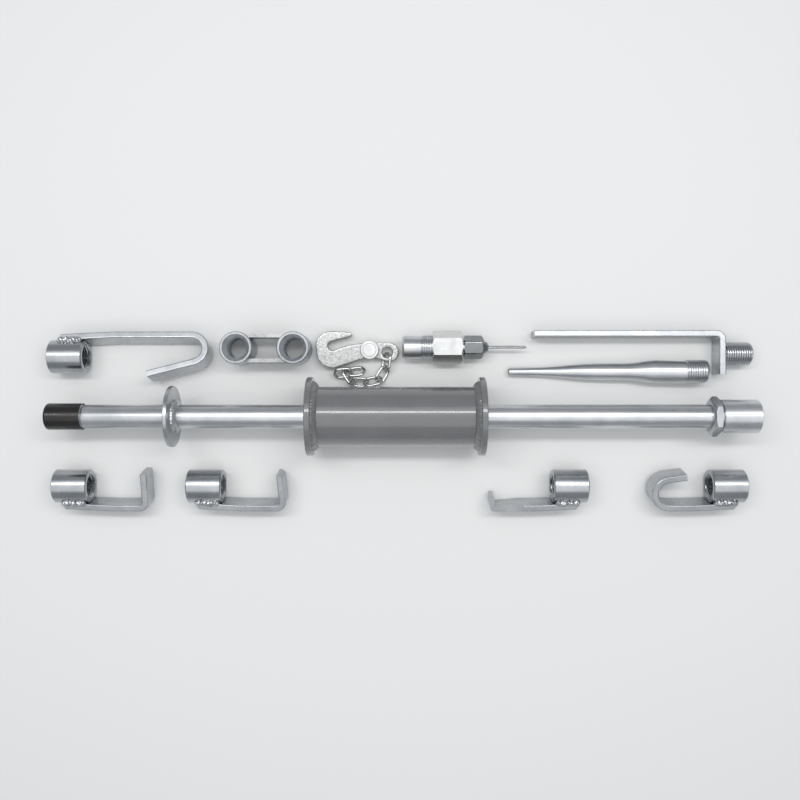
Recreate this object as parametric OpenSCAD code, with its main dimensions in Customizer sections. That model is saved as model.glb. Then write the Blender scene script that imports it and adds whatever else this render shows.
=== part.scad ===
// Slide hammer puller: a steel rod with a sliding weight and a stop at each end, and the hooks,
// link, chain hook and pulling ends that screw onto it, laid out beside it on a flat floor.
// Millimetres. +X runs along the rod and +Z up. The floor is z = 0, and the origin lies on it
// under the middle of the whole set.

/* [Rod] */
// Diameter of the rod and of every male thread
rod_d = 25.4; // [22:0.1:28]
// Length of the rod, from its capped end to its end inside the coupling
rod_length = 730; // [690:1:760]
// Chamfer at the rod's ends
rod_chamfer = 2; // [0.5:0.1:3]
// Bore of every female thread
thread_bore_d = 22.2; // [20:0.1:23]

/* [Thread cap] */
// Wall of the soft cap over the rod's threaded end
cap_wall = 1.3; // [1:0.1:3]
// Thickness of the cap's closed end
cap_end = 2; // [1:0.1:4]
// Length of the cap
cap_length = 38; // [25:0.5:60]
// Rounding of the cap's closed end
cap_round = 2.5; // [1:0.1:3]

/* [Guard washer] */
// Diameter of the stop washer
guard_d = 65; // [50:0.5:75]
// Thickness of the stop washer
guard_thickness = 4.5; // [3:0.1:8]
// Distance from the rod's capped end to the washer
guard_setback = 128; // [90:1:150]
// Leg of the weld ring behind the washer
guard_weld_leg = 6; // [3:0.1:8]

/* [Sliding weight] */
// Overall length of the weight with its flanges
weight_length = 188; // [150:1:210]
// Diameter of the weight's body
weight_d = 63.5; // [50:0.5:70]
// Diameter of the two end flanges
flange_d = 84; // [76:0.5:90]
// Thickness of each flange
flange_thickness = 6.5; // [4:0.1:9]
// Rounding of the flange rims
flange_round = 1.4; // [0.5:0.1:2]
// Leg of the weld fillets between body and flanges
flange_weld_leg = 6; // [3:0.1:8]
// Gap between the rod and the weight's bore
weight_gap = 0.4; // [0.3:0.05:0.8]
// Distance from the washer to the weight where it is stored
weight_setback = 141; // [80:1:170]

/* [Coupling and jam nut] */
// Outer diameter of the coupling at the rod's far end
coupling_d = 36; // [32:0.5:40]
// Length of the coupling
coupling_length = 40.5; // [34:0.5:50]
// Length of rod inside the coupling
coupling_grip = 20; // [12:0.5:26]
// Width across flats of the jam nut
jam_nut_af = 37; // [34:0.5:41]
// Thickness of the jam nut
jam_nut_thickness = 13; // [9:0.5:18]

/* [Hook sockets and bars] */
// Outer diameter of the hook sockets
socket_d = 36; // [32:0.5:40]
// Length of the hook sockets
socket_length = 37.5; // [30:0.5:45]
// Chamfer round the ends of sockets and coupling
socket_chamfer = 1; // [0.4:0.1:2]
// Thickness of the flat bar that the hooks are bent from
bar_thickness = 7; // [5:0.1:9]
// Width of the flat bar
bar_width = 25.4; // [18:0.1:30]
// Rounding of the bar's long edges
bar_round = 1.2; // [0.5:0.1:2]
// Distance from a socket's free end to the start of its bar
bar_setback = 7.5; // [2:0.5:14]
// Angle of the welded stretch of bar against the rest
heel_angle = 3; // [1:0.5:5]
// Leg of the weld beads beside the bars
bar_weld_leg = 5; // [3:0.1:6]

/* [Long hook] */
// Length of the welded stretch of the long hook
long_hook_heel = 59; // [50:1:75]
// Straight length between the heel and the turn
long_hook_shank = 85; // [60:1:110]
// Inner radius of the turn
long_hook_r = 12; // [8:0.5:18]
// Angle of the turn
long_hook_turn = 165; // [150:1:178]
// Length of the arm after the turn
long_hook_arm = 51; // [30:1:60]

/* [Wide hook] */
// Length of the welded stretch of the wide hook
wide_hook_heel = 54; // [45:1:65]
// Straight length between the heel and the bend
wide_hook_shank = 29; // [15:1:60]
// Length of the leg
wide_hook_leg = 32; // [20:1:45]
// Inner radius of the right-angle bends
corner_r = 3; // [2:0.5:8]

/* [Narrow hook] */
// Length of the welded stretch of the narrow hook
narrow_hook_heel = 52; // [45:1:65]
// Straight length between the heel and the bend
narrow_hook_shank = 35; // [15:1:60]
// Angle of the bend
narrow_hook_turn = 94; // [85:1:110]
// Length of the leg
narrow_hook_leg = 30; // [20:1:45]
// Bevel at the tip of the leg
narrow_hook_bevel = 4; // [1:0.5:6]

/* [Lip hook] */
// Length of the welded stretch of the lip hook
lip_hook_heel = 46; // [42:1:65]
// Straight length between the heel and the taper
lip_hook_shank = 14; // [5:1:40]
// Length over which the bar thins towards the lip
lip_hook_taper = 36; // [20:1:45]
// Thickness of the lip
lip_thickness = 4; // [3:0.1:6]
// Height of the lip above the bar
lip_height = 11; // [6:0.5:18]

/* [Round hook] */
// Length of the welded stretch of the round hook
round_hook_heel = 46; // [42:1:65]
// Straight length between the heel and the turn
round_hook_shank = 27; // [10:1:50]
// Inner radius of the turn
round_hook_r = 12.7; // [8:0.1:18]
// Angle of the turn
round_hook_turn = 172; // [150:1:178]
// Length of the arm after the turn
round_hook_arm = 19; // [10:1:30]

/* [Double link] */
// Outer diameter of the link's two tubes
link_d = 35; // [30:0.5:40]
// Height of the tubes
link_height = 38; // [28:0.5:45]
// Distance between the tubes' axes
link_spacing = 61; // [50:0.5:75]
// Distance between the middles of the two strips
strip_spacing = 26.8; // [20:0.1:28]
// Thickness of the strips
strip_thickness = 4; // [3:0.1:6]
// Height of the strips
strip_height = 25.4; // [16:0.1:30]

/* [Grab hook] */
// Thickness of the forged hook
grab_thickness = 12.6; // [11:0.1:16]
// Distance from the pin to the end of the slot
grab_reach = 41; // [38:0.5:50]
// Width of the slot
grab_slot = 10; // [7:0.1:11]
// Radius of the hook's eye round the pin
grab_eye_r = 9; // [8:0.1:9.8]
// Diameter of the pin
pin_d = 9; // [7:0.1:10]
// Diameter of the pin's head
pin_head_d = 20.6; // [18.5:0.1:24]
// Thickness of the pin's head
pin_head_thickness = 2.6; // [2:0.1:4]
// Thickness of the shackle tongue between the hook's ears
tongue_thickness = 5.4; // [4.5:0.1:5.8]
// Radius of the tongue's nose
tongue_nose_r = 10.5; // [10:0.1:11]
// Distance from the pin to the middle of the nose
tongue_reach = 21.4; // [20:0.1:26]
// Hole in the nose for the chain
tongue_eye_d = 11.6; // [11.4:0.1:12.4]

/* [Chain] */
// Wire of the chain links
chain_wire = 3.2; // [2.6:0.1:3.4]
// Inner length of a link
chain_inner_length = 16; // [15.8:0.1:16.5]
// Inner width of a link
chain_inner_width = 9; // [8.5:0.1:9.5]

/* [Dent puller] */
// Visible length of the dent puller's rod
puller_rod_length = 33; // [20:0.5:40]
// Width across flats of the large nut
puller_nut_af = 31.5; // [28:0.5:34]
// Length of the large nut
puller_nut_length = 32; // [24:0.5:38]
// Width across flats of the chuck nut
chuck_af = 22.5; // [19:0.5:25]
// Length of the chuck nut's hexagon
chuck_length = 21; // [15:0.5:28]
// Length of the chuck nut's cone nose
chuck_nose = 5; // [3:0.5:8]
// Space between the two nuts
chuck_gap = 2.5; // [1:0.1:5]
// Diameter of the spigot that carries the chuck nut
spigot_d = 12; // [9:0.1:14]
// Diameter of the pulling screw
screw_d = 3.6; // [3:0.1:5]
// Length of screw that stands out of the nose
screw_length = 42; // [25:0.5:55]

/* [L bar] */
// Length of the long leg
l_bar_length = 207; // [160:1:220]
// Length of the short leg
l_bar_height = 47.5; // [42:0.5:52]
// Inner radius of the bend
l_bar_r = 3; // [2:0.5:8]
// Length of the threaded stud
stud_length = 30; // [20:0.5:34]
// Distance from the long leg's outer face to the stud's axis
stud_drop = 25.2; // [24:0.1:30]
// Diameter of the spigot that holds the stud in the bar
stud_spigot_d = 20.5; // [16:0.1:21]

/* [Taper rod] */
// Overall length of the taper rod
taper_length = 216; // [190:1:225]
// Diameter at the thin tip
taper_tip_d = 9.2; // [7:0.1:12]
// Diameter at the waist before the shoulder
taper_waist_d = 17.2; // [14:0.1:20]
// Length from the tip to the waist
taper_reach = 98; // [80:1:110]
// Length from the tip to the start of the shoulder curve
taper_shoulder_start = 116; // [100:1:125]
// Length from the tip to the full diameter
taper_shoulder_end = 162; // [150:1:170]

/* [Layout] */
// Rod axis, measured from the middle of the set
rod_y = 5; // [0:0.5:8]
// Rod's capped end
rod_x = -375; // [-378:0.5:-370]
// Free end of the long hook's socket
long_hook_x = -382; // [-386:0.5:-378]
// Free end of the wide hook's socket
wide_hook_x = -377; // [-382:0.5:-370]
// Free end of the narrow hook's socket
narrow_hook_x = -233; // [-240:0.5:-228]
// Free end of the lip hook's socket
lip_hook_x = 199.5; // [195:0.5:205]
// Free end of the round hook's socket
round_hook_x = 370; // [365:0.5:375]
// Middle of the double link
link_x = -148.2; // [-152:0.1:-144]
// Pin of the grab hook
grab_x = -36.7; // [-40:0.1:-34]
// End face of the dent puller's rod
puller_x = -0.9; // [-1.5:0.1:2]
// Outer face of the L bar's short leg
l_bar_x = 349.2; // [346:0.1:352]
// Gap from the taper rod's thick end to the L bar's short leg
taper_end_gap = 10.2; // [8:0.1:14]
// Gap from the flanges' rims to the long hook's socket axis
long_hook_gap = 22.5; // [21:0.5:30]
// Gap from the flanges' rims to the front hooks' socket axes
front_gap = 34; // [30:0.5:45]
// Gap from the flanges' rims to the middle of the double link
link_gap = 31.3; // [24:0.1:36]
// Gap from the flanges' rims to the grab hook's pin
grab_gap = 30.3; // [28:0.1:34]
// Gap from the flanges' rims to the dent puller's axis
puller_gap = 33; // [28:0.5:40]
// Gap from the flanges' rims to the outer face of the L bar
l_bar_gap = 51.1; // [49:0.1:56]
// Gap from the flanges' rims to the taper rod's axis
taper_gap = 6.6; // [6:0.1:8]

/* [Hidden] */
$fn = 72;

zinc = [0.78, 0.79, 0.80];
dark_zinc = [0.66, 0.67, 0.69];
grey_paint = [0.45, 0.45, 0.46];
black_vinyl = [0.08, 0.08, 0.08];
bright = [0.85, 0.85, 0.84];

overrun = 1;
running_gap = 0.05;
seat_gap = 0.3;
round_steps = 4;

rod_r = rod_d / 2;
thread_bore_r = thread_bore_d / 2;
flange_r = flange_d / 2;
socket_r = socket_d / 2;
rod_end_x = rod_x + rod_length;
guard_x = rod_x + guard_setback;
weight_x = guard_x + guard_thickness + weight_setback;
weight_end_x = weight_x + weight_length;
coupling_x = rod_end_x - coupling_grip;
jam_nut_x = coupling_x - jam_nut_thickness;
weight_bore_r = rod_r + weight_gap;

// Points of an arc round a centre, from one angle to another.
function arc(center, r, from, to, steps = round_steps) =
    [for (i = [0:steps])
        let (a = from + (to - from) * i / steps) [center[0] + r * cos(a), center[1] + r * sin(a)]];

// Half section of a tube along its axis, as [radius, place], with chamfered rims.
function tube_section(r_out, r_in, length, chamfer, mouth) = [
    [r_in + mouth, 0], [r_out - chamfer, 0], [r_out, chamfer], [r_out, length - chamfer],
    [r_out - chamfer, length], [r_in + mouth, length], [r_in, length - mouth], [r_in, mouth]
];

// Half section of a disc with a hole and rounded outer rims.
function disc_section(r_out, r_in, thickness, r_round) = concat(
    [[r_in, 0]],
    arc([r_out - r_round, r_round], r_round, -90, 0),
    arc([r_out - r_round, thickness - r_round], r_round, 0, 90),
    [[r_in, thickness]]
);

// Shares of its leg that a weld bead's bulging face follows.
bead_shares = [[1, 0], [0.82, 0.36], [0.6, 0.6], [0.36, 0.82], [0, 1]];

// Half section of a weld ring that leans on a plate at place 0 and on a surface of radius r.
function bead_section(r, leg) =
    concat([[r, 0]], [for (share = bead_shares) [r + leg * share[0], leg * share[1]]]);

// Cross-section of a bar with rounded corners, centred.
function bar_section(w, h, r) = concat(
    arc([w / 2 - r, h / 2 - r], r, 0, 90),
    arc([r - w / 2, h / 2 - r], r, 90, 180),
    arc([r - w / 2, r - h / 2], r, 180, 270),
    arc([w / 2 - r, r - h / 2], r, 270, 360)
);

// Turns a shape that stands along +Z so that it lies along +X.
module along_x() rotate([0, 90, 0]) children();

// Solid of revolution along +X from a half section of [radius, place].
module revolve_x(section) along_x() rotate_extrude() polygon(section);

// Places a shape on the rod's axis at height of the flanges' radius.
module on_rod(x) translate([x, rod_y, flange_r]) children();

// Hexagonal nut along +X with chamfered corners and a round bore. A flat faces down.
module hex_nut(af, length, bore_r, near_chamfer = 1, far_chamfer = 1) {
    corner_r_out = af / sqrt(3);
    lead = corner_r_out - af / 2;
    drop = lead * tan(30);
    difference() {
        intersection() {
            along_x() cylinder(r = corner_r_out, h = length, $fn = 6);
            revolve_x([
                [0, 0],
                [corner_r_out - lead * near_chamfer, 0],
                [corner_r_out, drop * near_chamfer],
                [corner_r_out, length - drop * far_chamfer],
                [corner_r_out - lead * far_chamfer, length],
                [0, length]
            ]);
        }
        along_x() translate([0, 0, -overrun]) cylinder(r = bore_r, h = length + 2 * overrun);
    }
}

// The rod, the cap on its thread and the stop washer

module main_rod() color(zinc) on_rod(rod_x)
    revolve_x([
        [0, 0], [rod_r - rod_chamfer, 0], [rod_r, rod_chamfer],
        [rod_r, rod_length - rod_chamfer], [rod_r - rod_chamfer, rod_length], [0, rod_length]
    ]);

module thread_cap() {
    bore_r = rod_r + running_gap;
    r_out = bore_r + cap_wall;
    color(black_vinyl) on_rod(rod_x - seat_gap - cap_end)
        revolve_x(concat(
            [[0, 0]],
            arc([r_out - cap_round, cap_round], cap_round, -90, 0),
            [[r_out, cap_length], [bore_r, cap_length], [bore_r, cap_end], [0, cap_end]]
        ));
}

module guard_washer() color(zinc) on_rod(guard_x)
    revolve_x(disc_section(guard_d / 2, rod_r, guard_thickness, guard_thickness / 5));

module guard_weld() color(dark_zinc) on_rod(guard_x + guard_thickness)
    revolve_x(bead_section(rod_r, guard_weld_leg));

// The sliding weight

module weight_tube() color(grey_paint) on_rod(weight_x + flange_thickness)
    revolve_x([
        [weight_bore_r, 0], [weight_d / 2, 0],
        [weight_d / 2, weight_length - 2 * flange_thickness],
        [weight_bore_r, weight_length - 2 * flange_thickness]
    ]);

module weight_flange(x) color(grey_paint) on_rod(x)
    revolve_x(disc_section(flange_r, weight_bore_r, flange_thickness, flange_round));

module weight_flange_front() weight_flange(weight_x);
module weight_flange_rear() weight_flange(weight_end_x - flange_thickness);

module weight_welds() color(grey_paint) {
    on_rod(weight_x + flange_thickness) revolve_x(bead_section(weight_d / 2, flange_weld_leg));
    on_rod(weight_end_x - flange_thickness) mirror([1, 0, 0])
        revolve_x(bead_section(weight_d / 2, flange_weld_leg));
}

// Jam nut and coupling

module jam_nut() color(bright) on_rod(jam_nut_x) rotate([30, 0, 0])
    hex_nut(jam_nut_af, jam_nut_thickness, rod_r);

module end_coupling() color(zinc) on_rod(coupling_x)
    revolve_x([
        [rod_r, 0], [coupling_d / 2 - socket_chamfer, 0], [coupling_d / 2, socket_chamfer],
        [coupling_d / 2, coupling_length - socket_chamfer],
        [coupling_d / 2 - socket_chamfer, coupling_length],
        [thread_bore_r + socket_chamfer, coupling_length],
        [thread_bore_r, coupling_length - socket_chamfer],
        [thread_bore_r, coupling_grip], [rod_r, coupling_grip]
    ]);

// Bars bent from flat stock

// A bend is a hair fuller than the straight bar, and the stretches beside it reach into it.
bend_swell = 0.02;
bend_lap = 0.25;

// A straight stretch of bar along +X. A bevel takes the +Y corner off its far end.
module bar_run(length, start_lap, end_lap, bevel = 0) difference() {
    translate([-start_lap, 0, 0]) rotate([90, 0, 90])
        linear_extrude(start_lap + length + end_lap)
            polygon(bar_section(bar_thickness, bar_width, bar_round));
    if (bevel > 0) translate([length, bar_thickness / 2 - bevel, -bar_width])
        rotate([0, 0, 45]) translate([0, -bar_width, 0]) cube(2 * bar_width);
}

// A bend of the bar that turns towards +Y.
module bar_bend(angle, r) translate([0, r + bar_thickness / 2, 0]) rotate([0, 0, -90])
    rotate_extrude(angle = angle) translate([r + bar_thickness / 2, 0])
        polygon(bar_section(bar_thickness + 2 * bend_swell, bar_width + 2 * bend_swell, bar_round));

// A bar of straight stretches and bends. Each step is [length, angle, inner radius], and a
// negative angle turns towards -Y. The last step is [length, 0, tip bevel].
module bent_bar(steps, i = 0) {
    length = steps[i][0];
    angle = steps[i][1];
    side = angle < 0 ? -1 : 1;
    center_r = steps[i][2] + bar_thickness / 2;
    bar_run(length, i == 0 ? 0 : bend_lap, angle == 0 ? 0 : bend_lap, angle == 0 ? steps[i][2] : 0);
    if (angle != 0) translate([length, 0, 0]) {
        mirror([0, side < 0 ? 1 : 0, 0]) bar_bend(abs(angle), steps[i][2]);
        translate([center_r * sin(abs(angle)), side * center_r * (1 - cos(angle)), 0])
            rotate([0, 0, angle]) bent_bar(steps, i + 1);
    }
}

// Hooks: each is drawn with its socket along +X from its free end, and its bar on the +Y side

bar_y = socket_r + bar_thickness / 2;
heel_bend_r = 30;
heel_cut_angle = 40;

// Roll that lets the socket and the bar's lower outer edge both touch the floor.
edge_out = socket_r + bar_thickness - bar_round;
edge_down = bar_width / 2 - bar_round;
hook_roll = asin((socket_r - bar_round) / norm([edge_out, edge_down])) - atan(edge_down / edge_out);

// Places a hook on the floor, its bar away from the rod.
module lying_hook(x, gap, x_side, y_side)
    translate([x, rod_y + y_side * (flange_r + gap), socket_r])
        mirror([x_side < 0 ? 1 : 0, 0, 0]) mirror([0, y_side < 0 ? 1 : 0, 0])
            rotate([-hook_roll, 0, 0]) children();

module hook_socket() color(zinc) revolve_x(
    tube_section(socket_r, thread_bore_r, socket_length, socket_chamfer, socket_chamfer));

// The bar's welded heel slopes towards the socket and is coped to it. Its start is cut at a slant.
module hook_bar(heel, rest) {
    bend_center_r = heel_bend_r + bar_thickness / 2;
    rise = heel * sin(heel_angle) + bend_center_r * (1 - cos(heel_angle));
    color(zinc) difference() {
        translate([bar_setback, bar_y - rise, 0]) rotate([0, 0, heel_angle]) difference() {
            bent_bar(concat([[heel, -heel_angle, heel_bend_r]], rest));
            translate([0, -bar_thickness / 2, 0]) rotate([0, 0, -heel_cut_angle])
                translate([-bar_width, -bar_thickness, -bar_width])
                    cube([bar_width, 4 * bar_thickness, 2 * bar_width]);
        }
        along_x() translate([0, 0, -overrun]) cylinder(r = socket_r, h = socket_length + 2 * overrun);
    }
}

// Two weld beads where the bar lies on the socket.
module hook_weld() {
    reach = bar_width / 2 - bar_round;
    bead_y = sqrt(socket_r * socket_r - reach * reach) + bar_weld_leg / 4;
    start = bar_setback + bar_weld_leg;
    // The lower bead stays above the floor.
    floor_r = socket_r - bead_y * sin(hook_roll) - reach * cos(hook_roll);
    color(dark_zinc) for (side = [-1, 1])
        translate([start, 0, 0]) rotate([90, 0, 90])
            linear_extrude(socket_length - start - bar_weld_leg / 2) difference() {
                translate([bead_y, side * reach])
                    circle(r = min(bar_weld_leg * 0.8, side > 0 ? bar_weld_leg : floor_r));
                circle(r = socket_r);
                translate([bar_y - bar_thickness, -bar_width / 2]) square([bar_width, bar_width]);
            }
}

module long_hook_place() lying_hook(long_hook_x, long_hook_gap, 1, 1) children();
module wide_hook_place() lying_hook(wide_hook_x, front_gap, 1, -1) children();
module narrow_hook_place() lying_hook(narrow_hook_x, front_gap, 1, -1) children();
module lip_hook_place() lying_hook(lip_hook_x, front_gap, -1, -1) children();
module round_hook_place() lying_hook(round_hook_x, front_gap, -1, -1) children();

module long_hook_socket() long_hook_place() hook_socket();
module long_hook_weld() long_hook_place() hook_weld();
module long_hook_bar() long_hook_place() hook_bar(long_hook_heel, [
    [long_hook_shank, -long_hook_turn, long_hook_r], [long_hook_arm, 0, 0]]);

module wide_hook_socket() wide_hook_place() hook_socket();
module wide_hook_weld() wide_hook_place() hook_weld();
module wide_hook_bar() wide_hook_place() hook_bar(wide_hook_heel, [
    [wide_hook_shank, -90, corner_r], [wide_hook_leg, 0, 0]]);

module narrow_hook_socket() narrow_hook_place() hook_socket();
module narrow_hook_weld() narrow_hook_place() hook_weld();
module narrow_hook_bar() narrow_hook_place() hook_bar(narrow_hook_heel, [
    [narrow_hook_shank, -narrow_hook_turn, corner_r], [narrow_hook_leg, 0, narrow_hook_bevel]]);

// The lip hook's bar thins and ends in a short upturned lip.
module lip_hook_bar() lip_hook_place() {
    outer = bar_thickness / 2 - bend_swell;
    inner = outer - lip_thickness;
    bend_x = bar_setback + lip_hook_heel * cos(heel_angle)
        + (heel_bend_r + bar_thickness / 2) * sin(heel_angle);
    hook_bar(lip_hook_heel, [[lip_hook_shank, 0, 0]]);
    color(zinc) translate([bend_x + lip_hook_shank, bar_y, -bar_width / 2 + bar_round / 2])
        linear_extrude(bar_width - bar_round) polygon(concat(
            [[-bend_lap, -outer], [-bend_lap, outer]],
            arc([lip_hook_taper - lip_thickness, outer - lip_thickness], lip_thickness, 90, 0),
            [[lip_hook_taper, inner - lip_height],
            [lip_hook_taper - lip_thickness, inner - lip_height],
            [lip_hook_taper - lip_thickness, inner], [0, -outer]]
        ));
}
module lip_hook_socket() lip_hook_place() hook_socket();
module lip_hook_weld() lip_hook_place() hook_weld();

module round_hook_socket() round_hook_place() hook_socket();
module round_hook_weld() round_hook_place() hook_weld();
module round_hook_bar() round_hook_place() hook_bar(round_hook_heel, [
    [round_hook_shank, -round_hook_turn, round_hook_r], [round_hook_arm, 0, 0]]);

// Double link: two standing tubes joined by two strips

module link_place() translate([link_x, rod_y + flange_r + link_gap, 0]) children();

module link_tube(side) color(zinc) link_place() translate([side * link_spacing / 2, 0, 0])
    rotate_extrude()
        polygon(tube_section(link_d / 2, thread_bore_r, link_height, socket_chamfer, socket_chamfer));

module link_tube_left() link_tube(-1);
module link_tube_right() link_tube(1);

module link_strips() color(zinc) link_place() difference() {
    for (side = [-1, 1])
        translate([-link_spacing / 2, side * strip_spacing / 2 - strip_thickness / 2,
            (link_height - strip_height) / 2])
            cube([link_spacing, strip_thickness, strip_height]);
    for (side = [-1, 1]) translate([side * link_spacing / 2, 0, -overrun])
        cylinder(r = link_d / 2, h = link_height + 2 * overrun);
}

// Grab hook with its pin, shackle tongue and chain

module grab_place() translate([grab_x, rod_y + flange_r + grab_gap, 0]) children();

ear_thickness = (grab_thickness - tongue_thickness) / 2 - seat_gap;
slot_r = grab_slot / 2;
grab_slot_y = 4.4;
grab_mouth_angle = 22;

module grab_hook() {
    color(bright) grab_place() difference() {
        linear_extrude(grab_thickness) polygon(concat(
            arc([0, 0], grab_eye_r, -112, 80, 12),
            [[-grab_reach * 0.57, slot_r * 1.05]],
            arc([-grab_reach, grab_slot_y], slot_r, -65, -250, 10),
            arc([-grab_reach * 0.53, grab_slot_y * 3.9], slot_r * 0.5, -60, 90),
            arc([-grab_reach * 1.04, grab_slot_y * 0.95], grab_reach * 0.4, 88, 190, 10),
            arc([-grab_reach * 1.0, -grab_slot_y * 0.6], grab_reach * 0.42, 196, 278, 8)
        ));
        translate([-grab_eye_r - seat_gap, -grab_reach / 2, ear_thickness])
            cube([grab_reach, grab_reach, grab_thickness - 2 * ear_thickness]);
        translate([0, 0, -overrun])
            cylinder(r = pin_d / 2 + running_gap, h = grab_thickness + 2 * overrun);
    }
}

module hook_pin() color(bright) grab_place() translate([0, 0, seat_gap]) {
    shank = grab_thickness;
    rim = pin_head_thickness / 4;
    rotate_extrude() polygon(concat(
        [[0, 0], [pin_d / 2 - rim, 0], [pin_d / 2, rim], [pin_d / 2, shank]],
        [[pin_head_d / 2 - rim, shank]],
        arc([pin_head_d / 2 - 2 * rim, shank + rim], 2 * rim, -30, 60),
        [[pin_head_d * 0.36, shank + pin_head_thickness * 0.7],
        [pin_head_d * 0.34, shank + pin_head_thickness], [0, shank + pin_head_thickness]]
    ));
}

tongue_nose = [tongue_reach, -grab_slot_y / 2];
tongue_eye = tongue_nose - [tongue_nose_r * 0.19, tongue_nose_r * 0.05];

module shackle_tongue() {
    hub_r = grab_eye_r - seat_gap;
    color(bright) grab_place() translate([0, 0, ear_thickness + seat_gap]) difference() {
        linear_extrude(tongue_thickness) polygon(concat(
            arc([0, 0], hub_r, 70, 290, 14),
            arc(tongue_nose, tongue_nose_r, -100, 95, 14)
        ));
        translate([0, 0, -overrun]) cylinder(r = pin_d / 2, h = tongue_thickness + 2 * overrun);
        translate([tongue_eye[0], tongue_eye[1], -overrun])
            cylinder(r = tongue_eye_d / 2, h = tongue_thickness + 2 * overrun);
    }
}

// The chain lies in a loose curve: each link heads its own way, and meets the next where the
// two wires cross. The links lean to either side in turn, and the first one leans in the eye.
chain_headings = [264, 240, 192, 176, 122];
chain_lean = 45;
first_lean = 52;
chain_start = tongue_eye - [chain_wire * 0.03, chain_wire * 0.7];
chain_slack = chain_wire * 0.078;
turn_per_mm = 80;

// Distance from a link's middle to where it meets a neighbour, shorter where the chain turns.
function half_pitch(turn) = chain_inner_length / 2 - chain_slack - abs(turn) / turn_per_mm;
function turn_after(i) =
    i < 0 || i > len(chain_headings) - 2 ? 0 : chain_headings[i + 1] - chain_headings[i];
function heading_step(i, length) =
    length * [cos(chain_headings[i]), sin(chain_headings[i])];
function joint_after(i) = i < 0 ? chain_start
    : joint_after(i - 1) + heading_step(i, half_pitch(turn_after(i - 1)) + half_pitch(turn_after(i)));
function link_middle(i) = joint_after(i - 1) + heading_step(i, half_pitch(turn_after(i - 1)));
chain_rest_z = (chain_inner_width + chain_wire) / 2 * sin(chain_lean) + chain_wire / 2;

// One chain link, long axis along +X, flat.
module chain_link() {
    turn_r = (chain_inner_width + chain_wire) / 2;
    half = (chain_inner_length - chain_inner_width) / 2;
    for (side = [-1, 1]) {
        translate([-half, side * turn_r, 0]) along_x() cylinder(d = chain_wire, h = 2 * half);
        translate([side * half, 0, 0]) rotate([0, 0, side * 90 - 180])
            rotate_extrude(angle = 180) translate([turn_r, 0]) circle(d = chain_wire, $fn = 24);
    }
}

// Dent puller: threaded rod, large nut, chuck nut and pulling screw

puller_z = puller_nut_af / 2;
module puller_place(x) translate([x, rod_y + flange_r + puller_gap, puller_z]) children();

puller_nut_x = puller_x + puller_rod_length;
chuck_x = puller_nut_x + puller_nut_length + chuck_gap;
nose_x = chuck_x + chuck_length + chuck_nose;

module puller_rod() color(zinc) puller_place(puller_x) {
    shank = puller_rod_length + puller_nut_length;
    revolve_x([
        [0, 0], [rod_r - rod_chamfer, 0], [rod_r, rod_chamfer], [rod_r, puller_rod_length],
        [thread_bore_r, puller_rod_length], [thread_bore_r, shank], [spigot_d / 2, shank], [spigot_d / 2, shank + chuck_gap + chuck_length / 2],
        [0, shank + chuck_gap + chuck_length / 2]
    ]);
}

module puller_nut() color(bright) puller_place(puller_nut_x) rotate([30, 0, 0])
    hex_nut(puller_nut_af, puller_nut_length, thread_bore_r);

module chuck_nut() color(bright) puller_place(chuck_x) rotate([30, 0, 0]) {
    bore_end = chuck_length / 2 + seat_gap;
    nose_r = screw_d;
    difference() {
        union() {
            hex_nut(chuck_af, chuck_length, spigot_d / 2 + running_gap);
            revolve_x([
                [0, bore_end], [chuck_af / 2 - overrun, bore_end],
                [chuck_af / 2 - overrun, chuck_length], [nose_r, chuck_length + chuck_nose],
                [0, chuck_length + chuck_nose]
            ]);
        }
        along_x() cylinder(r = screw_d / 2 + running_gap, h = chuck_length + 2 * chuck_nose);
    }
}

module puller_screw() color(dark_zinc) puller_place(chuck_x + chuck_length / 2) {
    tip = nose_x - chuck_x - chuck_length / 2 + screw_length;
    revolve_x([
        [0, 0], [screw_d / 2, 0], [screw_d / 2, tip - 2 * screw_d], [0, tip]
    ]);
}

// L bar with its threaded stud

module l_bar_place() translate([l_bar_x, rod_y + flange_r + l_bar_gap, bar_width / 2]) children();

module l_bar() {
    bend_reach = l_bar_r + bar_thickness;
    color(zinc) l_bar_place() difference() {
        translate([-l_bar_length, -bar_thickness / 2, 0]) bent_bar([
            [l_bar_length - bend_reach, -90, l_bar_r], [l_bar_height - bend_reach, 0, 0]]);
        translate([-bar_thickness - overrun, -stud_drop, 0]) along_x()
            cylinder(d = stud_spigot_d, h = bar_thickness + 2 * overrun);
    }
}

module l_bar_stud() color(zinc) l_bar_place() translate([-bar_thickness, -stud_drop, 0])
    revolve_x([
        [0, 0], [stud_spigot_d / 2, 0], [stud_spigot_d / 2, bar_thickness], [rod_r, bar_thickness],
        [rod_r, bar_thickness + stud_length - rod_chamfer],
        [rod_r - rod_chamfer, bar_thickness + stud_length], [0, bar_thickness + stud_length]
    ]);

// Taper rod: a thin round nose, a waist, a smooth shoulder and a full threaded end

taper_x = l_bar_x - bar_thickness - taper_end_gap - taper_length;
taper_tip_chamfer = taper_tip_d / 8;
shoulder_steps = 10;
taper_section = concat(
    [[taper_tip_d / 2, taper_tip_chamfer],
    [taper_waist_d * 0.44, taper_reach * 0.7], [taper_waist_d / 2, taper_reach]],
    [for (i = [0:shoulder_steps])
        let (share = i / shoulder_steps)
        [(taper_waist_d + (rod_d - taper_waist_d) * (1 - cos(180 * share)) / 2) / 2,
        taper_shoulder_start + (taper_shoulder_end - taper_shoulder_start) * share]]
);
// The rod rests on its tip and on its shoulder, so it tilts by the steepest line from the tip.
taper_tilt = max([for (p = taper_section) if (p[1] > taper_reach)
    atan((p[0] - taper_tip_d / 2) / (p[1] - taper_tip_chamfer))]);
taper_tip_z = taper_tip_d / 2 * cos(taper_tilt) - taper_tip_chamfer * sin(taper_tilt);

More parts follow.
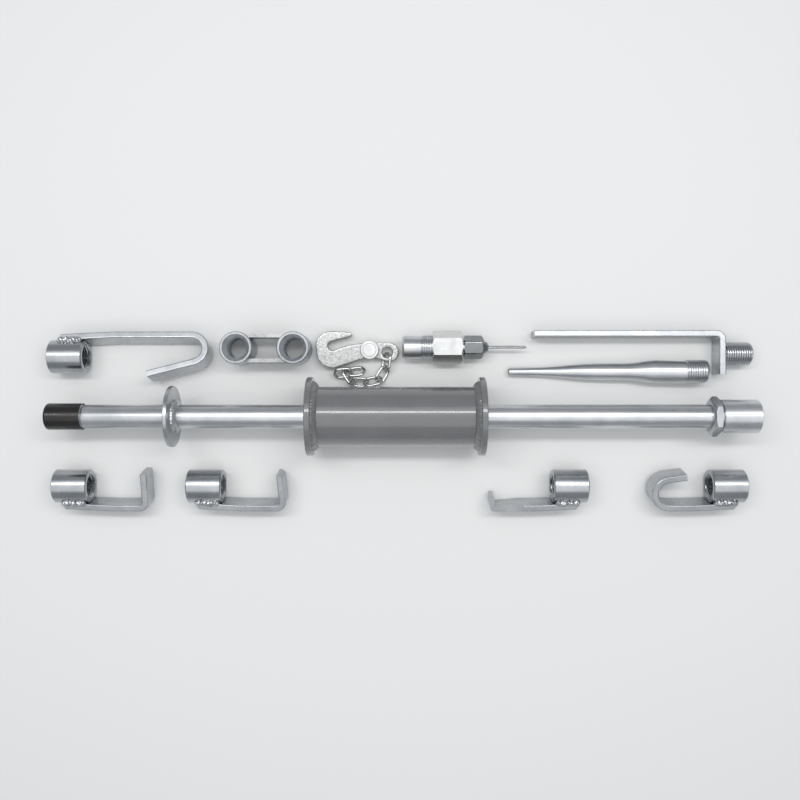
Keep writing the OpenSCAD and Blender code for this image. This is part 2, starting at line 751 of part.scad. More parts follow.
module taper_rod() color(zinc)
    translate([taper_x, rod_y + flange_r + taper_gap, taper_tip_z]) rotate([0, -taper_tilt, 0])
        revolve_x(concat(
            [[0, 0], [taper_tip_d / 2 - taper_tip_chamfer, 0]],
            taper_section,
            [[rod_r, taper_length - rod_chamfer], [rod_r - rod_chamfer, taper_length],
            [0, taper_length]]
        ));

module chain_links() color(bright) grab_place()
    for (i = [0:len(chain_headings) - 1]) {
        middle = link_middle(i);
        lean = i == 0 ? first_lean : chain_lean * (i % 2 == 0 ? 1 : -1);
        translate([middle[0], middle[1], i == 0 ? grab_thickness / 2 : chain_rest_z])
            rotate([0, 0, chain_headings[i]]) rotate([lean, 0, 0]) chain_link();
    }

main_rod();
thread_cap();
guard_washer();
guard_weld();
weight_tube();
weight_flange_front();
weight_flange_rear();
weight_welds();
jam_nut();
end_coupling();
long_hook_socket();
long_hook_bar();
long_hook_weld();
wide_hook_socket();
wide_hook_bar();
wide_hook_weld();
narrow_hook_socket();
narrow_hook_bar();
narrow_hook_weld();
lip_hook_socket();
lip_hook_bar();
lip_hook_weld();
round_hook_socket();
round_hook_bar();
round_hook_weld();
link_tube_left();
link_tube_right();
link_strips();
grab_hook();
hook_pin();
shackle_tongue();
chain_links();
puller_rod();
puller_nut();
chuck_nut();
puller_screw();
l_bar();
l_bar_stud();
taper_rod();
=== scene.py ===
from math import cos, pi, radians, sin, sqrt

import bmesh
import bpy
from mathutils import Matrix, Vector, noise


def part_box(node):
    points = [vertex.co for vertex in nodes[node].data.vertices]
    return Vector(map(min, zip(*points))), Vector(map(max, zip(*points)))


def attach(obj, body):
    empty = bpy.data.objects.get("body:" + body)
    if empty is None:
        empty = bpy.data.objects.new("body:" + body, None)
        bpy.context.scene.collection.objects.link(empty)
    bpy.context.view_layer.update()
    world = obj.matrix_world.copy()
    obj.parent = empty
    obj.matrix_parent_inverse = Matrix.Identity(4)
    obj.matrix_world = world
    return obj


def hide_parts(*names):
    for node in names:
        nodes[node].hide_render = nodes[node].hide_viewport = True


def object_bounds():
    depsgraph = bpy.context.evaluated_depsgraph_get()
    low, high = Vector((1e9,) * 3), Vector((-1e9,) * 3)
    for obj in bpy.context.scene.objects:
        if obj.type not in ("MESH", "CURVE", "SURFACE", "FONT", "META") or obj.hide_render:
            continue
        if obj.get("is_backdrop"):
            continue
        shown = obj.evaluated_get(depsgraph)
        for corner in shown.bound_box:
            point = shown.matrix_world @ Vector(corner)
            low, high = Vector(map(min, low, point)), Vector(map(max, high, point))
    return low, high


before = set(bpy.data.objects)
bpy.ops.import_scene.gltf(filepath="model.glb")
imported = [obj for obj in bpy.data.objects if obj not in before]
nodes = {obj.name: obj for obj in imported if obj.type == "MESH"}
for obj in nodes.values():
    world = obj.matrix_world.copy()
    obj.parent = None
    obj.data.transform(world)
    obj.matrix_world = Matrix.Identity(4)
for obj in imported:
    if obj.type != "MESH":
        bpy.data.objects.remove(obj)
cad_low, cad_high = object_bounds()
scene = bpy.context.scene

# Camera

CAMERA_PLACE = (-0.0033, 0.0225, 0.942)
CAMERA_LENS = 38.2

camera_data = bpy.data.cameras.new("camera")
camera_data.sensor_width = 36
camera_data.lens = CAMERA_LENS
camera_data.clip_end = 20
camera = bpy.data.objects.new("camera", camera_data)
camera.location = CAMERA_PLACE
scene.collection.objects.link(camera)
scene.camera = camera
scene.view_settings.view_transform = "Standard"


# Materials

class Nodes:
    """Builds one node material, a few calls long."""

    def __init__(self, name):
        self.material = bpy.data.materials.new(name)
        self.material.use_nodes = True
        self.tree = self.material.node_tree
        self.tree.nodes.clear()
        self.output = self.add("ShaderNodeOutputMaterial")
        self.shader = self.add("ShaderNodeBsdfPrincipled")
        self.link(self.shader, "BSDF", self.output, "Surface")
        self.coordinates = self.add("ShaderNodeTexCoord")

    def add(self, kind, **values):
        node = self.tree.nodes.new(kind)
        for key, value in values.items():
            setattr(node, key, value)
        return node

    def link(self, source, out, target, into):
        self.tree.links.new(source.outputs[out], target.inputs[into])

    def noise(self, scale, detail=3.0, rough=0.5, stretch=(1, 1, 1)):
        mapping = self.add("ShaderNodeMapping")
        mapping.inputs["Scale"].default_value = stretch
        self.link(self.coordinates, "Object", mapping, "Vector")
        texture = self.add("ShaderNodeTexNoise")
        texture.inputs["Scale"].default_value = scale
        texture.inputs["Detail"].default_value = detail
        texture.inputs["Roughness"].default_value = rough
        self.link(mapping, "Vector", texture, "Vector")
        return texture

    def ramp(self, source, out, stops):
        ramp = self.add("ShaderNodeValToRGB")
        while len(ramp.color_ramp.elements) < len(stops):
            ramp.color_ramp.elements.new(0.5)
        for element, (place, color) in zip(ramp.color_ramp.elements, stops):
            element.position = place
            element.color = (*color, 1)
        self.link(source, out, ramp, "Fac")
        return ramp

    def spread(self, source, out, low, high, start=0.3, end=0.7):
        node = self.add("ShaderNodeMapRange")
        node.inputs["From Min"].default_value = start
        node.inputs["From Max"].default_value = end
        node.inputs["To Min"].default_value = low
        node.inputs["To Max"].default_value = high
        self.link(source, out, node, "Value")
        return node

    def bump(self, source, out, distance, strength=1.0, below=None):
        node = self.add("ShaderNodeBump")
        node.inputs["Distance"].default_value = distance
        node.inputs["Strength"].default_value = strength
        self.link(source, out, node, "Height")
        if below is not None:
            self.link(below, "Normal", node, "Normal")
        return node

    def set(self, **values):
        for key, value in values.items():
            self.shader.inputs[key.replace("_", " ")].default_value = value


# Noise scales of smears, drawn marks and pits in plated steel
SMEARS, DRAWN_MARKS, PITS = 160, 900, 420


def metal(name, dark, light, rough, stretch=(1, 1, 1), drawn=0.00002, pits=0.00004, cloud=38):
    """Plated steel: cloudy plating, fine drawn marks and shallow pits."""
    m = Nodes(name)
    m.set(Metallic=1.0)
    tint = m.noise(cloud, detail=4, rough=0.6)
    m.link(m.ramp(tint, "Fac", [(0.32, dark), (0.68, light)]), "Color", m.shader, "Base Color")
    smear = m.noise(SMEARS, detail=4, rough=0.65, stretch=stretch)
    m.link(m.spread(smear, "Fac", rough[0], rough[1]), "Result", m.shader, "Roughness")
    marks = m.noise(DRAWN_MARKS, detail=2, rough=0.5, stretch=stretch)
    pitting = m.noise(PITS, detail=3, rough=0.7)
    first = m.bump(pitting, "Fac", pits)
    m.link(m.bump(marks, "Fac", drawn, below=first), "Normal", m.shader, "Normal")
    return m.material


def painted(name, color):
    """Gloss paint over turned steel, with a slight orange peel."""
    m = Nodes(name)
    cloud = m.noise(22, detail=3, rough=0.5)
    dark = tuple(c * 0.94 for c in color)
    light = tuple(c * 1.06 for c in color)
    m.link(m.ramp(cloud, "Fac", [(0.3, dark), (0.7, light)]), "Color", m.shader, "Base Color")
    m.set(Metallic=0.0, Coat_Weight=1.0, Coat_Roughness=0.03)
    smear = m.noise(90, detail=3, rough=0.6)
    m.link(m.spread(smear, "Fac", low=0.24, high=0.34), "Result", m.shader, "Roughness")
    peel = m.noise(340, detail=2, rough=0.5)
    dents = m.noise(45, detail=2, rough=0.5)
    first = m.bump(dents, "Fac", distance=0.00012)
    m.link(m.bump(peel, "Fac", distance=0.00005, below=first), "Normal", m.shader, "Normal")
    return m.material


def vinyl(name, color):
    """Soft dipped plastic with faint smears."""
    m = Nodes(name)
    cloud = m.noise(60, detail=4, rough=0.6)
    light = tuple(c * 1.7 for c in color)
    m.link(m.ramp(cloud, "Fac", [(0.3, color), (0.75, light)]), "Color", m.shader, "Base Color")
    smear = m.noise(120, detail=4, rough=0.6, stretch=(0.4, 1, 1))
    m.link(m.spread(smear, "Fac", low=0.20, high=0.36), "Result", m.shader, "Roughness")
    skin = m.noise(500, detail=3, rough=0.6)
    m.link(m.bump(skin, "Fac", distance=0.00006), "Normal", m.shader, "Normal")
    return m.material


ALONG_X = (0.08, 1, 1)
zinc_bar = metal("zinc_bar", (0.40, 0.42, 0.44), (0.53, 0.54, 0.55), (0.24, 0.38))
zinc_rod = metal("zinc_rod", (0.53, 0.55, 0.57), (0.66, 0.67, 0.68), (0.26, 0.38), ALONG_X)
# A lighter zinc, painted light, for the round walls of the double link's rings
zinc_painted_light = metal("zinc_painted_light", (0.42, 0.45, 0.48), (0.55, 0.57, 0.59), (0.34, 0.46))
zinc_socket = metal("zinc_socket", (0.36, 0.38, 0.40), (0.48, 0.49, 0.50), (0.20, 0.32), ALONG_X)
# A darker zinc, painted shade, for the flat tops of the double link's rings and strips
zinc_painted_shade = metal("zinc_painted_shade", (0.25, 0.26, 0.265), (0.35, 0.355, 0.36), (0.22, 0.36))
zinc_thread = metal("zinc_thread", (0.42, 0.44, 0.46), (0.56, 0.57, 0.58), (0.20, 0.32), pits=0.00001)
bright = metal("bright_plate", (0.58, 0.59, 0.59), (0.71, 0.71, 0.70), (0.10, 0.22), pits=0.00003)
chuck_steel = metal("chuck_steel", (0.20, 0.21, 0.215), (0.28, 0.29, 0.295), (0.16, 0.28))
forged = metal("forged_plate", (0.27, 0.275, 0.27), (0.42, 0.425, 0.415), (0.20, 0.34), pits=0.00012,
               cloud=420)
weld = metal("weld_bead", (0.42, 0.43, 0.45), (0.66, 0.67, 0.67), (0.12, 0.26), pits=0.00010)
screw_plate = metal("screw_plate", (0.42, 0.42, 0.43), (0.62, 0.62, 0.63), (0.16, 0.28), pits=0.00002)
grey_paint = painted("grey_paint", (0.150, 0.150, 0.154))
black_vinyl = vinyl("black_vinyl", (0.0075, 0.0070, 0.0068))

# The CAD nodes that show in another look than that of the plain bars; the link strips' darker zinc is
# painted shade
LOOKS = {
    "thread_cap": black_vinyl, "weight_tube": grey_paint, "weight_flange_front": grey_paint,
    "weight_flange_rear": grey_paint, "hook_pin": bright, "chain_links": bright,
    "link_strips": zinc_painted_shade,
}
for name, node in nodes.items():
    node.data.materials.clear()
    node.data.materials.append(LOOKS.get(name, zinc_bar))


# Shapes

THREAD_PITCH = 0.00254
THREAD_DEPTH = 0.0012
BORE_THREAD_DEPTH = 0.0009
ROD_R = 0.0127
BORE_R = 0.0111
TUBE_CHAMFER = 0.0010
ROUND_SEGMENTS = 72
SHARP, WORN_SHARP = radians(34), radians(60)


def mesh_object(name, sheets, look):
    """A mesh over one or more sheets, each of rows of points that close round on themselves."""
    mesh = bmesh.new()
    for rows in sheets:
        made = [[mesh.verts.new(point) for point in row] for row in rows]
        for lower, upper in zip(made, made[1:]):
            count = len(lower)
            for i in range(count):
                j = (i + 1) % count
                mesh.faces.new((lower[i], lower[j], upper[j], upper[i]))
    bmesh.ops.remove_doubles(mesh, verts=mesh.verts, dist=1e-7)
    bmesh.ops.recalc_face_normals(mesh, faces=mesh.faces)
    return finished(name, mesh, look)


def shade(data, angle):
    """Shades the mesh smooth but for the edges sharper than the angle."""
    data.shade_smooth()
    data.set_sharp_from_angle(angle=angle)


def finished(name, mesh, look):
    """Turns a bmesh into a shaded object."""
    data = bpy.data.meshes.new(name)
    mesh.to_mesh(data)
    mesh.free()
    shade(data, SHARP)
    data.materials.append(look)
    made = bpy.data.objects.new(name, data)
    scene.collection.objects.link(made)
    return made


def stand_for(piece, body, slot, *replaced):
    """The piece rides on its body in place of the CAD nodes."""
    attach(piece, body)
    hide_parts(*replaced)


def welded_copy(node):
    """The CAD node's mesh with its split corners joined."""
    mesh = bmesh.new()
    mesh.from_mesh(nodes[node].data)
    bmesh.ops.remove_doubles(mesh, verts=mesh.verts, dist=2e-6)
    return mesh


def forging(name, node, look, voxel, rounds):
    """The node's form with its edges worn round, as a forging's are."""
    piece = finished(name, welded_copy(node), look)
    remesh = piece.modifiers.new("remesh", "REMESH")
    remesh.mode = "VOXEL"
    remesh.voxel_size = voxel
    smooth = piece.modifiers.new("smooth", "SMOOTH")
    smooth.iterations = rounds
    graph = bpy.context.evaluated_depsgraph_get()
    worn = bpy.data.meshes.new_from_object(piece.evaluated_get(graph))
    piece.modifiers.clear()
    piece.data = worn
    shade(worn, WORN_SHARP)
    return piece


# Where a turn of thread has its root's start and end and its crest's start and end
THREAD_STOPS = (0.0, 0.14, 0.42, 0.72)


def thread_height(phase):
    """Height of a thread, 0 at its root and 1 at its crest, over one turn from 0 to 1."""
    root, rise, crest = THREAD_STOPS[1:]
    phase = phase % 1.0
    if phase < root:
        return 0.0
    if phase < rise:
        return (phase - root) / (rise - root)
    if phase < crest:
        return 1.0
    return 1 - (phase - crest) / (1 - crest)


def thread_rows(start, end, radius, segments, pitch=THREAD_PITCH):
    """Rings of a helix between two places on the axis. radius(x, height) gives each point's
    distance from it."""
    turns = int((end - start) / pitch) + 3
    rows = []
    for turn in range(-1, turns):
        for stop in THREAD_STOPS:
            row = []
            for i in range(segments):
                share = i / segments
                x = start + (turn + stop + share) * pitch
                x = min(max(x, start), end)
                height = thread_height((x - start) / pitch - share)
                row.append((x, radius(x, height), 2 * pi * share))
            rows.append(row)
    return rows


def round_points(rows, place):
    """Turns (x, radius, angle) into points round the axis that place sets."""
    return [[place @ Vector((x, r * cos(a), r * sin(a))) for x, r, a in row] for row in rows]


def ring(x, r, segments):
    return [(x, r, 2 * pi * i / segments) for i in range(segments)]


def axis_place(origin, toward=(1, 0, 0)):
    """A frame whose +X lies along the axis."""
    return Matrix.Translation(origin) @ Vector((1, 0, 0)).rotation_difference(
        Vector(toward)).to_matrix().to_4x4()


def turned(name, place, stops, thread, look, pitch=THREAD_PITCH, depth=THREAD_DEPTH,
           segments=ROUND_SEGMENTS):
    """A round piece over (place, radius) stops, with a thread cut between two of its places."""
    def outline(x):
        for (x0, r0), (x1, r1) in zip(stops, stops[1:]):
            if x0 <= x <= x1 and x1 > x0:
                return r0 + (r1 - r0) * (x - x0) / (x1 - x0)
        return stops[-1][1]
    start, end = thread
    full = outline((start + end) / 2)

    def radius(x, height):
        return min(outline(x), full - depth * (1 - height))
    rows = [ring(x, r, segments) for x, r in stops if x <= start]
    rows += thread_rows(start, end, radius, segments, pitch)
    rows += [ring(x, r, segments) for x, r in stops if x >= end]
    return mesh_object(name, [round_points(rows, place)], look)


def node_axis(name):
    """Start, length and radius of a round node that lies along X."""
    low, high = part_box(name)
    start = Vector((low.x, (low.y + high.y) / 2, (low.z + high.z) / 2))
    return start, high.x - low.x, (high.z - low.z) / 2


def threaded_tube(name, place, length, outer, look, sink, grip=0.0, segments=ROUND_SEGMENTS):
    """A tube with a thread cut in its bore and its mouths countersunk. Over the grip, the rod's
    end fills the bore instead."""
    def radius(x, height):
        mouth = max(sink - min(x if grip == 0 else length, length - x), 0)
        return max(BORE_R + BORE_THREAD_DEPTH * (1 - height), BORE_R + mouth)
    rows = [ring(0, outer - TUBE_CHAMFER, segments), ring(TUBE_CHAMFER, outer, segments),
            ring(length - TUBE_CHAMFER, outer, segments),
            ring(length, outer - TUBE_CHAMFER, segments)]
    bore = list(reversed(thread_rows(grip, length, radius, segments)))
    if grip > 0:
        bore += [ring(grip, ROD_R, segments), ring(0, ROD_R, segments)]
    rows = rows + bore + [rows[0]]
    return mesh_object(name, [round_points(rows, place)], look)


# Threaded bores of the hook sockets, the double link and the coupling

SOCKET_SINK = 0.0022
LINK_SINK = 0.0036
# Faces that lean further than this from upright take the lighter zinc, which is painted light
FLAT = 0.9
# Each hook's free end and socket axis, and the ways it points along X and Y
HOOK_LAYS = {
    "long_hook": (-0.382, 0.0695, 1, 1), "wide_hook": (-0.377, -0.071, 1, -1),
    "narrow_hook": (-0.233, -0.071, 1, -1), "lip_hook": (0.1995, -0.071, -1, -1),
    "round_hook": (0.370, -0.071, -1, -1),
}
for hook in HOOK_LAYS:
    origin, length, outer = node_axis(hook + "_socket")
    tube = threaded_tube(hook + "_tube", axis_place(origin), length, outer, zinc_socket,
                         SOCKET_SINK)
    stand_for(tube, hook, "zinc", hook + "_socket")

for side in ("left", "right"):
    node = "link_tube_" + side
    low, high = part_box(node)
    origin = Vector(((low.x + high.x) / 2, (low.y + high.y) / 2, low.z))
    tube = threaded_tube("link_ring_" + side, axis_place(origin, (0, 0, 1)), high.z - low.z,
                         (high.x - low.x) / 2, zinc_painted_shade, LINK_SINK)
    tube.data.materials.append(zinc_painted_light)
    # The flat ends keep the first look, a darker zinc that is painted shade, and the round walls take
    # the second, a lighter zinc that is painted light.
    for face in tube.data.polygons:
        if abs(face.normal.z) < FLAT:
            face.material_index = 1
    stand_for(tube, "double_link", "zinc", node)

origin, length, outer = node_axis("end_coupling")
GRIP = 0.020
tube = threaded_tube("coupling_tube", axis_place(origin), length, outer, zinc_rod, SOCKET_SINK,
                     GRIP)
stand_for(tube, "rod", "zinc", "end_coupling")

# Threaded ends

CHAMFER = 0.002
ROD_THREAD, ROD_PLAIN = 0.036, 0.040
origin, length, outer = node_axis("main_rod")
rod = turned("threaded_rod", axis_place(origin), [
    (0, 0), (0, ROD_R - CHAMFER), (CHAMFER, ROD_R), (ROD_PLAIN, ROD_R), (length - CHAMFER, ROD_R),
    (length, ROD_R - CHAMFER), (length, 0)], (0.0, ROD_THREAD), zinc_rod)
stand_for(rod, "rod", "zinc", "main_rod")

SPIGOT_R = 0.01025
BAR = 0.007
low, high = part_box("l_bar_stud")
STUD = high.x - low.x
stud = turned("threaded_stud", axis_place((low.x, (low.y + high.y) / 2, (low.z + high.z) / 2)), [
    (0, 0), (0, SPIGOT_R), (BAR, SPIGOT_R), (BAR, ROD_R), (STUD - CHAMFER, ROD_R),
    (STUD, ROD_R - CHAMFER), (STUD, 0)], (BAR, STUD), zinc_thread)
stand_for(stud, "l_bar", "zinc", "l_bar_stud")

# The taper rod lies on its tip and on its shoulder.
TAPER_TILT = radians(2.931)
TAPER, TAPER_THREAD, TIP_X = 0.216, 0.192, 0.116
TIP_R, NOSE_R, WAIST_R, TIP_CHAMFER = 0.0046, 0.0049, 0.00925, 0.00115
NOSE, SHOULDER = (0.024, 0.101), (0.128, 0.162)
low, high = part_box("taper_rod")
tip = Vector((TIP_X, (low.y + high.y) / 2,
              TIP_R * cos(TAPER_TILT) - TIP_CHAMFER * sin(TAPER_TILT)))


def swell(span, r0, r1, steps=16):
    """A smooth change of radius over a span of the axis."""
    return [(span[0] + (span[1] - span[0]) * i / steps,
             r0 + (r1 - r0) * (1 - cos(pi * i / steps)) / 2) for i in range(steps + 1)]


taper = turned("threaded_taper", axis_place(tip, (cos(TAPER_TILT), 0, sin(TAPER_TILT))), [
    (0, 0), (0, TIP_R - TIP_CHAMFER), (TIP_CHAMFER, TIP_R), *swell(NOSE, NOSE_R, WAIST_R),
    *swell(SHOULDER, WAIST_R, ROD_R), (TAPER - CHAMFER, ROD_R), (TAPER, ROD_R - CHAMFER),
    (TAPER, 0)], (TAPER_THREAD, TAPER), zinc_rod)
stand_for(taper, "taper_rod", "zinc", "taper_rod")

PULLER_START = Vector((-0.0009, 0.0800, 0.01575))
PULLER_THREAD, NUT_START, NUT_END, SPIGOT_END = 0.0205, 0.033, 0.065, 0.078
PULLER_SPIGOT_R = 0.006
puller = turned("threaded_puller", axis_place(PULLER_START), [
    (0, 0), (0, ROD_R - CHAMFER), (CHAMFER, ROD_R), (NUT_START, ROD_R), (NUT_START, BORE_R),
    (NUT_END, BORE_R), (NUT_END, PULLER_SPIGOT_R), (SPIGOT_END, PULLER_SPIGOT_R),
    (SPIGOT_END, 0)], (PULLER_THREAD, NUT_START), zinc_rod)
stand_for(puller, "dent_puller", "zinc", "puller_rod")

SCREW_R, SCREW_LENGTH, SCREW_POINT, SCREW_TIP_R = 0.0018, 0.0575, 0.0030, 0.0004
SCREW_PITCH, SCREW_DEPTH, SCREW_NECK = 0.0017, 0.0005, 0.002
screw = turned("threaded_screw", axis_place(PULLER_START + Vector((SPIGOT_END, 0, 0))), [
    (0, 0), (0, SCREW_R), (SCREW_LENGTH - SCREW_POINT, SCREW_R), (SCREW_LENGTH, SCREW_TIP_R),
    (SCREW_LENGTH, 0)], (SCREW_NECK, SCREW_LENGTH - SCREW_POINT), screw_plate,
    SCREW_PITCH, SCREW_DEPTH, segments=24)
stand_for(screw, "dent_puller", "weld", "puller_screw")


# Nuts, each a hexagon whose corners are cut round at both ends

def nut_rows(length, across, cut_near, cut_far, roll, rest, steps=6, segments=96):
    """Rings of a hexagon whose corners a cone cuts at each end, then round ones over the rest, a
    list of (place, radius) that leads on over a nose and back through the bore."""
    apothem = across / 2
    corner = apothem / cos(pi / 6)

    def hexagon(x, limit):
        row = []
        for i in range(segments):
            turn = 2 * pi * i / segments
            off = (turn + roll) % (pi / 3) - pi / 6
            row.append((x, min(apothem / cos(off), limit), turn))
        return row
    rows = []
    for i in range(steps + 1):
        share = i / steps
        rows.append(hexagon(cut_near[1] * share, corner - cut_near[0] * (1 - share)))
    for i in range(steps + 1):
        share = i / steps
        rows.append(hexagon(length - cut_far[1] * (1 - share), corner - cut_far[0] * share))
    rows += [ring(x, r, segments) for x, r in rest]
    return rows + [rows[0]]


def cut_nut(name, node, length, across, cut_near, cut_far, roll, rest, look, setback=0.0):
    """A nut on its node's axis, which starts where the node does or is set back from there."""
    low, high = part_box(node)
    rows = nut_rows(length, across, cut_near, cut_far, roll, rest)
    origin = (low.x + setback, (low.y + high.y) / 2, (low.z + high.z) / 2)
    return mesh_object(name, [round_points(rows, axis_place(origin))], look)


# Each cut is how far it goes in from the corner and along the axis.
JAM_ACROSS, JAM_LENGTH, JAM_SETBACK, JAM_CUT = 0.037, 0.0104, 0.0026, (0.0050, 0.0028)
jam = cut_nut("cut_jam_nut", "jam_nut", JAM_LENGTH, JAM_ACROSS, JAM_CUT, JAM_CUT, 0,
              [(JAM_LENGTH, ROD_R), (0, ROD_R)], zinc_bar, JAM_SETBACK)
stand_for(jam, "rod", "bright_plate", "jam_nut")

NUT_ACROSS, NUT_LENGTH, NUT_CUT = 0.0315, 0.032, (0.0022, 0.0013)
nut = cut_nut("cut_nut", "puller_nut", NUT_LENGTH, NUT_ACROSS, NUT_CUT, NUT_CUT, 0,
              [(NUT_LENGTH, BORE_R), (0, BORE_R)], bright)
stand_for(nut, "dent_puller", "bright_plate", "puller_nut")

CHUCK_ACROSS, CHUCK_LENGTH, CHUCK_NOSE, CHUCK_ROLL = 0.0225, 0.021, 0.026, radians(-5)
CHUCK_NEAR, CHUCK_FAR = (0.0016, 0.0010), (0.0030, 0.0026)
CLEARANCE, CHUCK_BORE_END = 0.0002, 0.0110
CHUCK_BORE, NOSE_BORE = PULLER_SPIGOT_R + CLEARANCE, SCREW_R + CLEARANCE
CHUCK_NOSE_STOPS = [
    (CHUCK_LENGTH, 0.0092), (CHUCK_LENGTH + 0.0007, 0.0068), (CHUCK_NOSE - 0.0009, 0.0052),
    (CHUCK_NOSE, 0.0038)]
CHUCK_BORE_STOPS = [
    (CHUCK_NOSE, NOSE_BORE), (CHUCK_BORE_END, NOSE_BORE), (CHUCK_BORE_END, CHUCK_BORE),
    (0, CHUCK_BORE)]
chuck = cut_nut("cut_chuck", "chuck_nut", CHUCK_LENGTH, CHUCK_ACROSS, CHUCK_NEAR, CHUCK_FAR,
                CHUCK_ROLL, CHUCK_NOSE_STOPS + CHUCK_BORE_STOPS, chuck_steel)
stand_for(chuck, "chuck", "bright_plate", "chuck_nut")

# Weld beads

BEAD_R, BEAD_Y, BEAD_Z = 0.0040, 0.0151, 0.0118
# The lower bead clears the floor.
LOW_BEAD_R = 0.0029
BEAD_START, BEAD_END, BEAD_STEPS = 0.0085, 0.0350, 84
# A ripple's pitch and its bow, and the scale of the lumps and how far the seed shifts them
BEAD_RIPPLE, BEAD_BOW, BEAD_LUMPS, BEAD_SHIFT = 0.0036, 0.0009, 330, 900
# How much of the bead's radius is its core, its ripples and its lumps
BEAD_CORE, BEAD_RIPPLED, BEAD_LUMPY = 0.76, 0.20, 0.30
# The higher it is, the blunter the bead's ends
BEAD_BLUNT = 7
# From one hook's seed to the next
SEED_STEP = 0.013
BAR_SETBACK = 0.0075
SOCKET_R = 0.018
HOOK_ROLL = radians(-13.68)
# The bar's heel slopes away from the socket, and the bead's middle goes half as far.
HEEL_SLOPE = radians(3)


def scallop(place, pitch):
    """Swell of a weld's ripples, from 0 between two to 1 on top of one."""
    across = 2 * (place / pitch % 1.0) - 1
    return sqrt(1 - across * across)


def bead_rows(place, side, seed, segments=18):
    """A lumpy bead between a hook's socket and the edge of its bar."""
    rows = []
    for i in range(BEAD_STEPS + 1):
        share = i / BEAD_STEPS
        x = BEAD_START + (BEAD_END - BEAD_START) * share
        rise = 0.5 * max(x - BAR_SETBACK, 0) * sin(HEEL_SLOPE)
        closing = sqrt(max(1 - abs(2 * share - 1) ** BEAD_BLUNT, 0))
        row = []
        for k in range(segments):
            turn = 2 * pi * k / segments
            ripple = scallop(x + BEAD_BOW * cos(turn) + seed, BEAD_RIPPLE)
            spot = Vector((x * BEAD_LUMPS + seed * BEAD_SHIFT, cos(turn), sin(turn) + side))
            lump = noise.noise(spot)
            r = BEAD_R * (BEAD_CORE + BEAD_RIPPLED * ripple + BEAD_LUMPY * lump) * closing
            if side < 0:
                r = min(r, LOW_BEAD_R)
            row.append(place @ Vector((x, BEAD_Y + rise + r * cos(turn),
                                       side * BEAD_Z + r * sin(turn))))
        rows.append(row)
    return rows


for number, (hook, (x, y, x_side, y_side)) in enumerate(HOOK_LAYS.items()):
    place = Matrix.Translation((x, y, SOCKET_R))
    place = place @ Matrix.Diagonal((x_side, y_side, 1, 1)) @ Matrix.Rotation(HOOK_ROLL, 4, "X")
    beads = [bead_rows(place, side, SEED_STEP * number) for side in (1, -1)]
    stand_for(mesh_object(hook + "_bead", beads, weld), hook, "weld", hook + "_weld")


# A ring's leg, and how deep its root lies under the round that it goes about
RING_LEG, RING_ROOT = 0.006, 0.0004
# A ripple's pitch, its bow and the steps over it, and the scale of the lumps
RING_RIPPLE, RING_BOW, RING_STEPS, RING_LUMPS = 0.0030, 0.0008, 8, 260
# How much of the leg is its core, its ripples and its lumps
RING_CORE, RING_RIPPLED, RING_LUMPY = 0.86, 0.10, 0.10
# The ring's section from the plate to the round, as shares of its leg out and along
RING_SECTION = (
    (1, 0), (0.93, 0.22), (0.80, 0.45), (0.63, 0.63), (0.45, 0.80), (0.22, 0.93), (0, 1))


def ring_bead_rows(x, way, y, z, r, seed):
    """A rippled ring of weld that leans on a plate at x and grows along X the given way."""
    count = int(2 * pi * r / RING_RIPPLE) * RING_STEPS
    root = r - RING_ROOT
    rows = []
    for i in range(count + 1):
        turn = 2 * pi * (i % count) / count
        row = [Vector((x, y + root * cos(turn), z + root * sin(turn)))]
        spot = Vector((cos(turn) * r * RING_LUMPS, sin(turn) * r * RING_LUMPS, seed))
        lump = noise.noise(spot)
        for out, along in RING_SECTION:
            travel = (turn * r + RING_BOW * (out - along)) * count / (2 * pi * r)
            ripple = scallop(travel * RING_RIPPLE / RING_STEPS, RING_RIPPLE)
            fullness = min(RING_CORE + RING_RIPPLED * ripple + RING_LUMPY * lump, 1.0)
            radius = r + RING_LEG * out * fullness
            row.append(Vector((x + way * RING_LEG * along * fullness, y + radius * cos(turn),
                               z + radius * sin(turn))))
        rows.append(row)
    return rows


low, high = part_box("guard_weld")
middle_y, middle_z = (low.y + high.y) / 2, (low.z + high.z) / 2
guard = mesh_object("guard_bead", [
    ring_bead_rows(low.x, 1, middle_y, middle_z, ROD_R, 1)], weld)
stand_for(guard, "rod", "weld", "guard_weld")

WEIGHT_R = 0.03175
low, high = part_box("weight_welds")
weight_beads = mesh_object("weight_beads", [
    ring_bead_rows(low.x, 1, middle_y, middle_z, WEIGHT_R, 2),
    ring_bead_rows(high.x, -1, middle_y, middle_z, WEIGHT_R, 3)], grey_paint)
stand_for(weight_beads, "weight", "grey_paint", "weight_welds")

# Forgings

claw = forging("forged_hook", "grab_hook", forged, voxel=0.0006, rounds=14)
stand_for(claw, "grab_hook", "bright_plate", "grab_hook")
tongue = forging("forged_tongue", "shackle_tongue", forged, voxel=0.0005, rounds=26)
stand_for(tongue, "chain_set", "bright_plate", "shackle_tongue")

# The chain's last two links, which fold back over the others

PIN = Vector((-0.0367, 0.0773, 0))
WIRE_R, LINK_R, LINK_HALF = 0.0016, 0.0061, 0.0035
# Each link's middle from the pin, and its heading and lean in degrees
FOLDED = (((-0.0290, -0.0251, 0.0080), 6, 45), ((-0.0151, -0.0237, 0.0100), 6, -45))


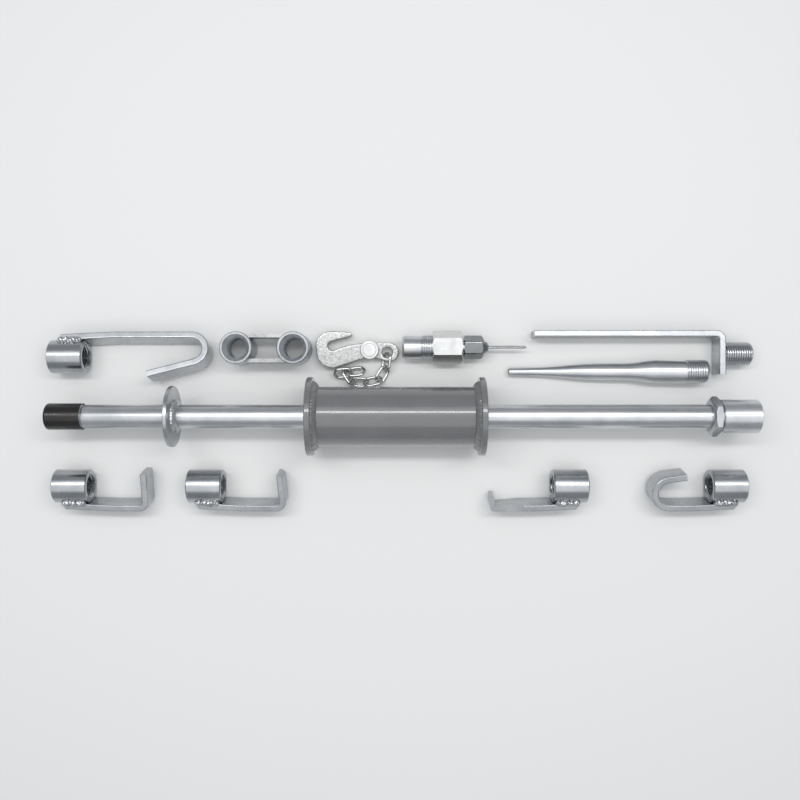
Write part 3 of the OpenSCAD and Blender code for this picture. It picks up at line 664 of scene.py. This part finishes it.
def link_rows(place, steps=14, segments=16):
    """Round wire along a link's outline: two half circles joined by straights."""
    rows = []
    for end in (1, -1):
        for i in range(steps + 1):
            turn = pi * i / steps - pi / 2 + (0 if end > 0 else pi)
            way = Vector((cos(turn), sin(turn), 0))
            middle = Vector((end * LINK_HALF, 0, 0)) + LINK_R * way
            rows.append([place @ (middle + WIRE_R * (cos(a) * way + Vector((0, 0, sin(a)))))
                         for a in (2 * pi * k / segments for k in range(segments))])
    return rows + [rows[0]]


links = []
for middle, heading, lean in FOLDED:
    turned_place = Matrix.Rotation(radians(heading), 4, "Z") @ Matrix.Rotation(radians(lean), 4, "X")
    links.append(link_rows(Matrix.Translation(PIN + Vector(middle)) @ turned_place))
folded = mesh_object("folded_links", links, bright)
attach(folded, "chain_set")


# Floor, light and world

REACH = 12
FLOOR_GAP = 0.0003
floor_look = Nodes("floor")
floor_look.set(Base_Color=(0.80, 0.80, 0.79, 1), Roughness=0.75, Specular_IOR_Level=0.2)
floor_data = bpy.data.meshes.new("floor")
corners = [(-REACH, -REACH, 0), (REACH, -REACH, 0), (REACH, REACH, 0), (-REACH, REACH, 0)]
floor_data.from_pydata(corners, [], [(0, 1, 2, 3)])
floor_data.materials.append(floor_look.material)
floor = bpy.data.objects.new("floor", floor_data)
floor.location = (0, 0, cad_low.z - FLOOR_GAP)
scene.collection.objects.link(floor)
floor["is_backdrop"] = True


def panel(name, place, target, size, power):
    """A soft rectangular lamp, turned to the target."""
    data = bpy.data.lights.new(name, "AREA")
    data.shape = "RECTANGLE"
    data.size, data.size_y = size
    data.energy = power
    light = bpy.data.objects.new(name, data)
    light.location = place
    light.rotation_euler = (Vector(target) - Vector(place)).to_track_quat("-Z", "Y").to_euler()
    scene.collection.objects.link(light)


panel("key", place=(0, 0.46, 1.45), target=(0, 0, 0), size=(2.2, 0.17), power=10.0)
panel("ceiling", place=(0, 0, 1.9), target=(0, 0, 0), size=(3.0, 2.8), power=22.0)

SKY_COLOR, SKY_STRENGTH = (0.86, 0.90, 0.95, 1), 0.42
world = bpy.data.worlds.new("world")
world.use_nodes = True
sky = world.node_tree.nodes["Background"]
sky.inputs["Color"].default_value = SKY_COLOR
sky.inputs["Strength"].default_value = SKY_STRENGTH
scene.world = world

low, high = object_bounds()
